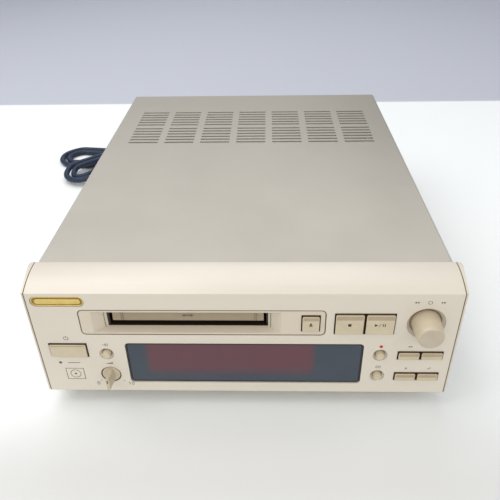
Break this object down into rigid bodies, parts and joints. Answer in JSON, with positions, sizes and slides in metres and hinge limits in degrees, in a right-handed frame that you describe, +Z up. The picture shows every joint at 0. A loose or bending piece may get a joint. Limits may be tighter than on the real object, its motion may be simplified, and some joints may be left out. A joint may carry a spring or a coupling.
{
  "type": "minidisc deck",
  "caption": "Compact front-loading minidisc deck with a sprung slot flap, jog and level knobs, push keys, display window, slotted steel cover, round feet and mains lead.",
  "frame": {"origin": "centre of the deck's outline on the surface that it stands on, without the mains lead", "axes": "+Z up, -Y out of the front plate towards the user, +X to the user's right when facing the front"},
  "size_m": [0.2932, 0.3471, 0.0769],
  "materials": {
    "cover_enamel": "satin",
    "fascia_enamel": "satin",
    "key_enamel": "satin",
    "gold_plate": "polished",
    "window_acrylic": "gloss",
    "tube_glass": "gloss",
    "zinc_steel": "satin",
    "grey_enamel": "satin",
    "cast_alloy": "cast",
    "black_plastic": "matte",
    "board_laminate": "matte",
    "coil_wire": "satin",
    "soft_rubber": "matte",
    "lamp_resin": "gloss",
    "cord_rubber": "satin"
  },
  "bodies": {
    "cabinet": {"audio_jacks": "black_plastic", "board_parts": "black_plastic", "bottom_pan": "zinc_steel", "button_switches": "black_plastic", "cord_gland": "black_plastic", "cord_hank": "cord_rubber", "cord_lead": "cord_rubber", "cord_plug": "cord_rubber", "cord_tail": "cord_rubber", "cord_tie": "cord_rubber", "display_tube": "tube_glass", "display_window": "window_acrylic", "drive_base": "cast_alloy", "drive_bridge": "zinc_steel", "drive_dampers": "soft_rubber", "end_cap_left": "fascia_enamel", "end_cap_right": "fascia_enamel", "fascia": "fascia_enamel", "feet": "black_plastic", "flap_pin": "zinc_steel", "front_board": "board_laminate", "guide_rods": "zinc_steel", "jog_housing": "black_plastic", "level_pot": "black_plastic", "loading_bezel": "key_enamel", "loading_motor": "zinc_steel", "main_board": "board_laminate", "name_plate": "gold_plate", "optical_sockets": "black_plastic", "rear_panel": "grey_enamel", "sled_motor": "zinc_steel", "spindle_motor": "zinc_steel", "standby_lamp": "lamp_resin", "supply_board": "board_laminate", "top_cover": "cover_enamel", "transformer_coil": "coil_wire", "transformer_core": "zinc_steel"},
    "slot_flap": {"slot_flap": "key_enamel"},
    "jog_rotor": {"jog_rotor": "black_plastic"},
    "jog_knob": {"jog_knob": "key_enamel", "jog_shaft": "zinc_steel"},
    "level_knob": {"level_knob": "key_enamel"},
    "cam_slider": {"cam_slider": "zinc_steel"},
    "disc_holder": {"disc_holder": "zinc_steel"},
    "spindle_table": {"spindle_table": "black_plastic"},
    "pickup_sled": {"pickup_sled": "black_plastic"},
    "lead_screw": {"lead_screw": "zinc_steel"},
    "confirm_button": {"confirm_button": "key_enamel"},
    "display_button": {"display_button": "key_enamel"},
    "edit_button": {"edit_button": "key_enamel"},
    "eject_button": {"eject_button": "key_enamel"},
    "forward_button": {"forward_button": "key_enamel"},
    "input_button": {"input_button": "key_enamel"},
    "play_button": {"play_button": "key_enamel"},
    "power_button": {"power_button": "key_enamel"},
    "record_button": {"record_button": "key_enamel"},
    "rewind_button": {"rewind_button": "key_enamel"},
    "stop_button": {"stop_button": "key_enamel"}
  },
  "joints": [
    {"name": "flap_swing", "type": "hinge", "parent": "cabinet", "child": "slot_flap", "pos_m": [-0.0266, -0.12485, 0.0603], "axis": [1, 0, 0], "range_deg": [0, 80], "stiffness_Nm_per_rad": 0.0004, "springref_deg": -17.19},
    {"name": "jog_turn", "type": "hinge", "parent": "cabinet", "child": "jog_rotor", "pos_m": [0.08505, -0.12485, 0.0554], "axis": [0, 1, 0], "continuous": true},
    {"name": "jog_push", "type": "slide", "parent": "jog_rotor", "child": "jog_knob", "axis": [0, 1, 0], "range_m": [0, 0.0006], "stiffness_N_per_m": 500},
    {"name": "level_turn", "type": "hinge", "parent": "cabinet", "child": "level_knob", "pos_m": [-0.0672, -0.12885, 0.0215], "axis": [0, 1, 0], "range_deg": [-150, 150]},
    {"name": "cam_slide", "type": "slide", "parent": "cabinet", "child": "cam_slider", "axis": [0, 1, 0], "range_m": [0, 0.01]},
    {"name": "holder_lower", "type": "slide", "parent": "cabinet", "child": "disc_holder", "axis": [0, 0, -1], "range_m": [0, 0.0035]},
    {"name": "spindle_spin", "type": "hinge", "parent": "cabinet", "child": "spindle_table", "pos_m": [-0.0266, -0.06485, 0.048], "axis": [0, 0, 1], "continuous": true},
    {"name": "sled_travel", "type": "slide", "parent": "cabinet", "child": "pickup_sled", "axis": [0, 1, 0], "range_m": [0, 0.016]},
    {"name": "screw_turn", "type": "hinge", "parent": "cabinet", "child": "lead_screw", "pos_m": [-0.0016, -0.03085, 0.047], "axis": [0, 1, 0], "range_deg": [0, 1920]},
    {"name": "confirm_press", "type": "slide", "parent": "cabinet", "child": "confirm_button", "axis": [0, 1, 0], "range_m": [0, 0.0008], "stiffness_N_per_m": 400},
    {"name": "display_press", "type": "slide", "parent": "cabinet", "child": "display_button", "axis": [0, 1, 0], "range_m": [0, 0.0008], "stiffness_N_per_m": 400},
    {"name": "edit_press", "type": "slide", "parent": "cabinet", "child": "edit_button", "axis": [0, 1, 0], "range_m": [0, 0.0008], "stiffness_N_per_m": 400},
    {"name": "eject_press", "type": "slide", "parent": "cabinet", "child": "eject_button", "axis": [0, 1, 0], "range_m": [0, 0.0008], "stiffness_N_per_m": 400},
    {"name": "forward_press", "type": "slide", "parent": "cabinet", "child": "forward_button", "axis": [0, 1, 0], "range_m": [0, 0.0008], "stiffness_N_per_m": 400},
    {"name": "input_press", "type": "slide", "parent": "cabinet", "child": "input_button", "axis": [0, 1, 0], "range_m": [0, 0.0008], "stiffness_N_per_m": 400},
    {"name": "play_press", "type": "slide", "parent": "cabinet", "child": "play_button", "axis": [0, 1, 0], "range_m": [0, 0.0008], "stiffness_N_per_m": 400},
    {"name": "power_press", "type": "slide", "parent": "cabinet", "child": "power_button", "axis": [0, 1, 0], "range_m": [0, 0.0008], "stiffness_N_per_m": 400},
    {"name": "record_press", "type": "slide", "parent": "cabinet", "child": "record_button", "axis": [0, 1, 0], "range_m": [0, 0.0008], "stiffness_N_per_m": 400},
    {"name": "rewind_press", "type": "slide", "parent": "cabinet", "child": "rewind_button", "axis": [0, 1, 0], "range_m": [0, 0.0008], "stiffness_N_per_m": 400},
    {"name": "stop_press", "type": "slide", "parent": "cabinet", "child": "stop_button", "axis": [0, 1, 0], "range_m": [0, 0.0008], "stiffness_N_per_m": 400}
  ],
  "couplings": [
    {"joint": "holder_lower", "follows": "cam_slide", "ratio": 0.35},
    {"joint": "screw_turn", "follows": "sled_travel", "rad_per_m": 2094.4}
  ]
}
